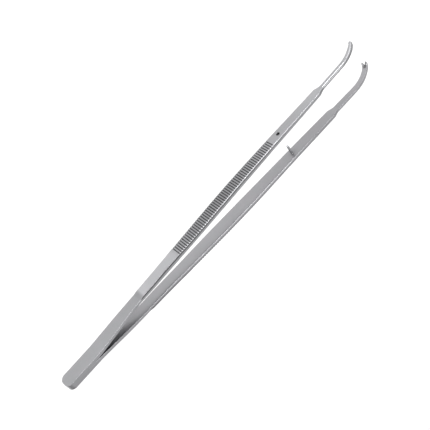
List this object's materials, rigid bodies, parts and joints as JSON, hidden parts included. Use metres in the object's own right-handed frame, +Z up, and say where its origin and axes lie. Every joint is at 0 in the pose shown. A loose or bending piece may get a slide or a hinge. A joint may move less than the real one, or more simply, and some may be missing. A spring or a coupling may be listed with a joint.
{
  "type": "long curved-tip tweezers",
  "caption": "Long slender steel tweezers for aquarium planting: two spring arms welded at the butt, serrated grips, guide pin and hole, curved toothed tips.",
  "frame": {"origin": "centre of the butt's flat end face, on the plane midway between the arms and at mid-width", "axes": "+X from the butt to the tips, +Y towards the arm with the guide hole and single tooth, +Z up; arm widths stand in Z, the arms open in Y and the tips curve down to -Z"},
  "size_m": [0.2728, 0.0257, 0.0156],
  "materials": {
    "left_arm_steel": "fine satin stainless steel, ground along the length, edges bright",
    "right_arm_steel": "fine satin stainless steel, ground along the length, edges bright",
    "weld_steel": "dressed weld, slightly duller than the strips",
    "pin_steel": "turned pin, semi-bright"
  },
  "bodies": {
    "butt": {"left_butt": "left_arm_steel", "right_butt": "right_arm_steel", "butt_weld": "weld_steel"},
    "left_arm": {"left_arm": "left_arm_steel"},
    "right_arm": {"right_arm": "right_arm_steel", "guide_pin": "pin_steel"}
  },
  "joints": [
    {"name": "left_arm_flex", "type": "hinge", "parent": "butt", "child": "left_arm", "pos_m": [0.0454, 0.00304, 0], "axis": [0, 0, -1], "range_deg": [0, 2.38], "stiffness_Nm_per_rad": 20},
    {"name": "right_arm_flex", "type": "hinge", "parent": "butt", "child": "right_arm", "pos_m": [0.0454, -0.00304, 0], "axis": [0, 0, 1], "range_deg": [0, 2.38], "stiffness_Nm_per_rad": 20}
  ],
  "couplings": [
    {"joint": "right_arm_flex", "follows": "left_arm_flex", "ratio": 1}
  ]
}
